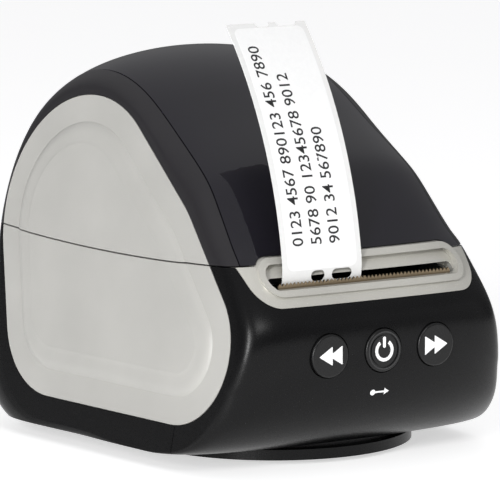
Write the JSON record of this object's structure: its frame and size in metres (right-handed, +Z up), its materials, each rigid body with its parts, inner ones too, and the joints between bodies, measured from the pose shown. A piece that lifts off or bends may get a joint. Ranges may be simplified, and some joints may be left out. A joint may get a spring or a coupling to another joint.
{
  "type": "desktop thermal label printer",
  "caption": "Desktop thermal label printer with a rounded dark housing, hinged glossy cover over a label roll, grey side panels, slot bezel with tear bar and round buttons.",
  "frame": {"origin": "middle of the footprint, on the desk under the feet", "axes": "+X to the right as seen from the front, +Y to the back, +Z up"},
  "size_m": [0.1376, 0.1714, 0.1471],
  "materials": {
    "lid_gloss": "high gloss black",
    "shell_black": "fine satin texture",
    "panel_grey": "satin warm grey",
    "bezel_grey": "satin light grey",
    "button_black": "satin",
    "rubber_black": "matte",
    "steel": "brushed",
    "tear_steel": "warm brushed",
    "sheet_steel": "zinc plated",
    "aluminium": "satin",
    "ceramic": "ground",
    "gear_nylon": "natural",
    "inner_black": "satin",
    "circuit_green": "solder mask",
    "paper_white": "smooth thermal",
    "core_card": "matte"
  },
  "bodies": {
    "base": {"base_pan": "shell_black", "board_components": "inner_black", "board_screws": "steel", "frame_screws": "steel", "front_shell": "shell_black", "head_bracket": "sheet_steel", "head_heat_sink": "aluminium", "head_springs": "steel", "hinge_pin": "steel", "key_board": "circuit_green", "key_switches": "inner_black", "label_strip": "paper_white", "lower_panel_left": "panel_grey", "lower_panel_right": "panel_grey", "main_board": "circuit_green", "mech_frame_left": "sheet_steel", "mech_frame_right": "sheet_steel", "paper_guide": "inner_black", "paper_sensor": "inner_black", "platen_bushes": "inner_black", "power_jack": "inner_black", "print_head": "ceramic", "rear_shell": "shell_black", "roll_cradle_left": "inner_black", "roll_cradle_right": "inner_black", "rubber_feet": "rubber_black", "slot_bezel": "bezel_grey", "stepper_motor": "sheet_steel", "tear_bar": "tear_steel", "usb_socket": "steel"},
    "cover": {"cover_frame": "shell_black", "cover_lid": "lid_gloss", "upper_panel_left": "panel_grey", "upper_panel_right": "panel_grey"},
    "reverse_button": {"button_reverse": "button_black"},
    "power_button": {"button_power": "button_black"},
    "forward_button": {"button_forward": "button_black"},
    "platen": {"platen_shaft": "steel", "platen_roller": "rubber_black", "platen_gear": "gear_nylon"},
    "upper_idler": {"idler_gear_upper": "gear_nylon"},
    "lower_idler": {"idler_gear_lower": "gear_nylon"},
    "motor_rotor": {"motor_pinion": "gear_nylon", "motor_shaft": "steel"},
    "spool": {"spool_spindle": "inner_black", "spool_flange": "inner_black", "roll_core": "core_card", "label_roll": "paper_white"},
    "roll_guide": {"spool_guide": "inner_black"}
  },
  "joints": [
    {"name": "cover_hinge", "type": "hinge", "parent": "base", "child": "cover", "pos_m": [0, 0.08155, 0.0702], "axis": [-1, 0, 0], "range_deg": [0, 85], "deforming": ["label_strip"]},
    {"name": "reverse_button_press", "type": "slide", "parent": "base", "child": "reverse_button", "axis": [0, 1, 0], "range_m": [0, 0.001], "stiffness_N_per_m": 600},
    {"name": "power_button_press", "type": "slide", "parent": "base", "child": "power_button", "axis": [0, 1, 0], "range_m": [0, 0.001], "stiffness_N_per_m": 600},
    {"name": "forward_button_press", "type": "slide", "parent": "base", "child": "forward_button", "axis": [0, 1, 0], "range_m": [0, 0.001], "stiffness_N_per_m": 600},
    {"name": "platen_spin", "type": "hinge", "parent": "base", "child": "platen", "pos_m": [0, -0.06195, 0.0554], "axis": [1, 0, 0], "continuous": true},
    {"name": "upper_idler_spin", "type": "hinge", "parent": "base", "child": "upper_idler", "pos_m": [0, -0.05289, 0.04197], "axis": [1, 0, 0], "continuous": true},
    {"name": "lower_idler_spin", "type": "hinge", "parent": "base", "child": "lower_idler", "pos_m": [0, -0.04585, 0.02873], "axis": [1, 0, 0], "continuous": true},
    {"name": "motor_spin", "type": "hinge", "parent": "base", "child": "motor_rotor", "pos_m": [0, -0.03985, 0.01833], "axis": [1, 0, 0], "continuous": true},
    {"name": "spool_spin", "type": "hinge", "parent": "base", "child": "spool", "pos_m": [0, 0.008, 0.07], "axis": [1, 0, 0], "continuous": true},
    {"name": "roll_guide_slide", "type": "slide", "parent": "spool", "child": "roll_guide", "axis": [1, 0, 0], "range_m": [0, 0.028]}
  ],
  "couplings": [
    {"joint": "upper_idler_spin", "follows": "platen_spin", "ratio": -1.0769},
    {"joint": "lower_idler_spin", "follows": "platen_spin", "ratio": 1.1667},
    {"joint": "motor_spin", "follows": "platen_spin", "ratio": -1.75}
  ]
}
